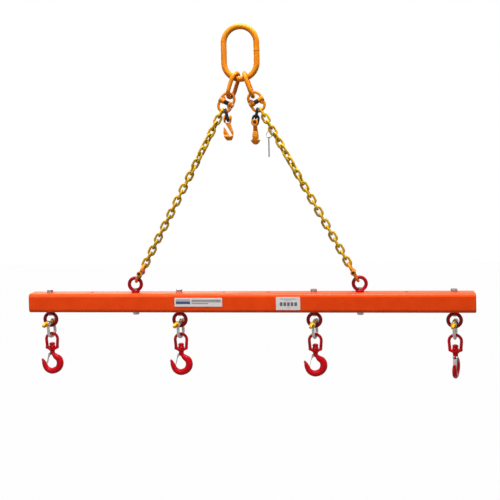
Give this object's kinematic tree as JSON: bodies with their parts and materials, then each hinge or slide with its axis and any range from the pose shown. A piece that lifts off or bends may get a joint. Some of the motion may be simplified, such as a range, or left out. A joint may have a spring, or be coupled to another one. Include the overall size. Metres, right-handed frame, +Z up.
{
  "type": "spreader beam",
  "caption": "Square-tube lifting spreader beam hung on a chain sling from a master link, with bow shackles and swivel latch hooks under its drilled stations.",
  "frame": {"origin": "bearing point at the inside top of the master link, in the sling's middle plane", "axes": "+X along the beam towards the leg with the tag, +Y away from the face with the plates, +Z up"},
  "size_m": [1.5, 0.0859, 1.1837],
  "materials": {
    "beam_paint": "gloss orange paint",
    "sling_paint": "orange-yellow powder coat",
    "chain_coat": "golden yellow coat",
    "hook_paint": "gloss crimson paint",
    "galvanised": "dull galvanised",
    "pin_paint": "yellow paint",
    "bolt_zinc": "grey zinc plate",
    "latch_zinc": "bright zinc plate",
    "black_steel": "black oxide",
    "plate_metal": "satin silver",
    "tag_steel": "plain steel"
  },
  "bodies": {
    "master_link": {"master_link": "sling_paint"},
    "sub_links": {"sub_link_left": "sling_paint", "sub_link_right": "sling_paint"},
    "sling_legs": {"upper_left_coupling": "sling_paint", "upper_right_coupling": "sling_paint", "lower_left_coupling": "sling_paint", "lower_right_coupling": "sling_paint", "coupling_pins": "black_steel", "coupling_bushes": "black_steel", "chain_left": "chain_coat", "chain_right": "chain_coat", "tag_ring": "tag_steel"},
    "tag": {"id_tag": "tag_steel"},
    "spare_links_left": {"grab_links_left": "black_steel"},
    "spare_links_right": {"grab_links_right": "black_steel"},
    "grab_hook_left": {"grab_hook_left": "sling_paint", "grab_pin_left": "black_steel"},
    "grab_hook_right": {"grab_hook_right": "sling_paint", "grab_pin_right": "black_steel"},
    "beam": {"beam_tube": "beam_paint", "end_caps": "beam_paint", "crush_sleeves": "bolt_zinc", "data_plate": "plate_metal", "capacity_plate": "plate_metal", "upper_eye_nuts": "hook_paint", "lower_eye_nuts": "hook_paint", "eye_bolts": "bolt_zinc", "washers": "bolt_zinc"},
    "shackle_1": {"shackle_1": "galvanised", "shackle_pin_1": "pin_paint"},
    "bail_1": {"swivel_bail_1": "hook_paint"},
    "hook_1": {"hook_1": "hook_paint", "swivel_stud_1": "hook_paint", "latch_pin_1": "latch_zinc", "latch_spring_1": "latch_zinc"},
    "latch_1": {"latch_1": "latch_zinc"},
    "shackle_2": {"shackle_2": "galvanised", "shackle_pin_2": "pin_paint"},
    "bail_2": {"swivel_bail_2": "hook_paint"},
    "hook_2": {"hook_2": "hook_paint", "swivel_stud_2": "hook_paint", "latch_pin_2": "latch_zinc", "latch_spring_2": "latch_zinc"},
    "latch_2": {"latch_2": "latch_zinc"},
    "shackle_3": {"shackle_3": "galvanised", "shackle_pin_3": "pin_paint"},
    "bail_3": {"swivel_bail_3": "hook_paint"},
    "hook_3": {"hook_3": "hook_paint", "swivel_stud_3": "hook_paint", "latch_pin_3": "latch_zinc", "latch_spring_3": "latch_zinc"},
    "latch_3": {"latch_3": "latch_zinc"},
    "shackle_4": {"shackle_4": "galvanised", "shackle_pin_4": "pin_paint"},
    "bail_4": {"swivel_bail_4": "hook_paint"},
    "hook_4": {"hook_4": "hook_paint", "swivel_stud_4": "hook_paint", "latch_pin_4": "latch_zinc", "latch_spring_4": "latch_zinc"},
    "latch_4": {"latch_4": "latch_zinc"}
  },
  "joints": [
    {"name": "sling_sway", "type": "hinge", "parent": "master_link", "child": "sub_links", "pos_m": [0, 0, -0.11], "axis": [0, 1, 0], "range_deg": [-15, 15]},
    {"name": "sling_swing", "type": "hinge", "parent": "sub_links", "child": "sling_legs", "pos_m": [0, 0, -0.21342], "axis": [1, 0, 0], "range_deg": [-20, 20]},
    {"name": "beam_pitch", "type": "hinge", "parent": "sling_legs", "child": "beam", "pos_m": [0, 0, -0.83323], "axis": [1, 0, 0], "range_deg": [-30, 30]},
    {"name": "spare_links_left_swing", "type": "hinge", "parent": "sling_legs", "child": "spare_links_left", "pos_m": [-0.05209, 0, -0.27411], "axis": [0.9816, 0, 0.191], "range_deg": [-20, 20]},
    {"name": "grab_hook_left_swing", "type": "hinge", "parent": "spare_links_left", "child": "grab_hook_left", "pos_m": [-0.04789, 0, -0.29569], "axis": [1, 0, 0], "range_deg": [-35, 35]},
    {"name": "spare_links_right_swing", "type": "hinge", "parent": "sling_legs", "child": "spare_links_right", "pos_m": [0.05209, 0, -0.27411], "axis": [0.9816, 0, -0.191], "range_deg": [-20, 20]},
    {"name": "grab_hook_right_swing", "type": "hinge", "parent": "spare_links_right", "child": "grab_hook_right", "pos_m": [0.04486, 0, -0.31126], "axis": [0, 1, 0], "range_deg": [-15, 15]},
    {"name": "tag_swing", "type": "hinge", "parent": "sling_legs", "child": "tag", "pos_m": [0.09003, -0.00577, -0.36397], "axis": [-0.8583, 0.5131, 0], "range_deg": [-20, 20]},
    {"name": "shackle_1_swing", "type": "hinge", "parent": "beam", "child": "shackle_1", "pos_m": [-0.684, 0, -0.9937], "axis": [1, 0, 0], "range_deg": [-40, 30]},
    {"name": "bail_1_swing", "type": "hinge", "parent": "shackle_1", "child": "bail_1", "pos_m": [-0.68277, 0.00257, -1.03221], "axis": [0.2756, 0.9613, 0], "range_deg": [-45, 45]},
    {"name": "hook_1_swivel", "type": "hinge", "parent": "bail_1", "child": "hook_1", "pos_m": [-0.68277, 0.00257, -1.08321], "axis": [0, 0, 1], "continuous": true},
    {"name": "latch_1_open", "type": "hinge", "parent": "hook_1", "child": "latch_1", "pos_m": [-0.69157, 0.00257, -1.09321], "axis": [0, -1, 0], "range_deg": [0, 45], "stiffness_Nm_per_rad": 0.05, "springref_deg": -22.92},
    {"name": "shackle_2_swing", "type": "hinge", "parent": "beam", "child": "shackle_2", "pos_m": [-0.228, 0, -0.9937], "axis": [1, 0, 0], "range_deg": [-40, 30]},
    {"name": "bail_2_swing", "type": "hinge", "parent": "shackle_2", "child": "bail_2", "pos_m": [-0.22677, 0.00257, -1.03221], "axis": [0.2756, 0.9613, 0], "range_deg": [-45, 45]},
    {"name": "hook_2_swivel", "type": "hinge", "parent": "bail_2", "child": "hook_2", "pos_m": [-0.22677, 0.00257, -1.08321], "axis": [0, 0, 1], "continuous": true},
    {"name": "latch_2_open", "type": "hinge", "parent": "hook_2", "child": "latch_2", "pos_m": [-0.23557, 0.00257, -1.09321], "axis": [0, -1, 0], "range_deg": [0, 45], "stiffness_Nm_per_rad": 0.05, "springref_deg": -22.92},
    {"name": "shackle_3_swing", "type": "hinge", "parent": "beam", "child": "shackle_3", "pos_m": [0.228, 0, -0.9937], "axis": [1, 0, 0], "range_deg": [-40, 30]},
    {"name": "bail_3_swing", "type": "hinge", "parent": "shackle_3", "child": "bail_3", "pos_m": [0.22923, 0.00257, -1.03221], "axis": [0.2756, 0.9613, 0], "range_deg": [-45, 45]},
    {"name": "hook_3_swivel", "type": "hinge", "parent": "bail_3", "child": "hook_3", "pos_m": [0.22923, 0.00257, -1.08321], "axis": [0, 0, 1], "continuous": true},
    {"name": "latch_3_open", "type": "hinge", "parent": "hook_3", "child": "latch_3", "pos_m": [0.22043, 0.00257, -1.09321], "axis": [0, -1, 0], "range_deg": [0, 45], "stiffness_Nm_per_rad": 0.05, "springref_deg": -22.92},
    {"name": "shackle_4_swing", "type": "hinge", "parent": "beam", "child": "shackle_4", "pos_m": [0.684, 0, -0.9937], "axis": [1, 0, 0], "range_deg": [-40, 30]},
    {"name": "bail_4_swing", "type": "hinge", "parent": "shackle_4", "child": "bail_4", "pos_m": [0.68523, 0.00257, -1.03221], "axis": [0.2756, 0.9613, 0], "range_deg": [-45, 45]},
    {"name": "hook_4_swivel", "type": "hinge", "parent": "bail_4", "child": "hook_4", "pos_m": [0.68523, 0.00257, -1.08321], "axis": [0, 0, 1], "continuous": true},
    {"name": "latch_4_open", "type": "hinge", "parent": "hook_4", "child": "latch_4", "pos_m": [0.6831, -0.00596, -1.09321], "axis": [0.9703, -0.2419, 0], "range_deg": [0, 45], "stiffness_Nm_per_rad": 0.05, "springref_deg": -22.92}
  ]
}
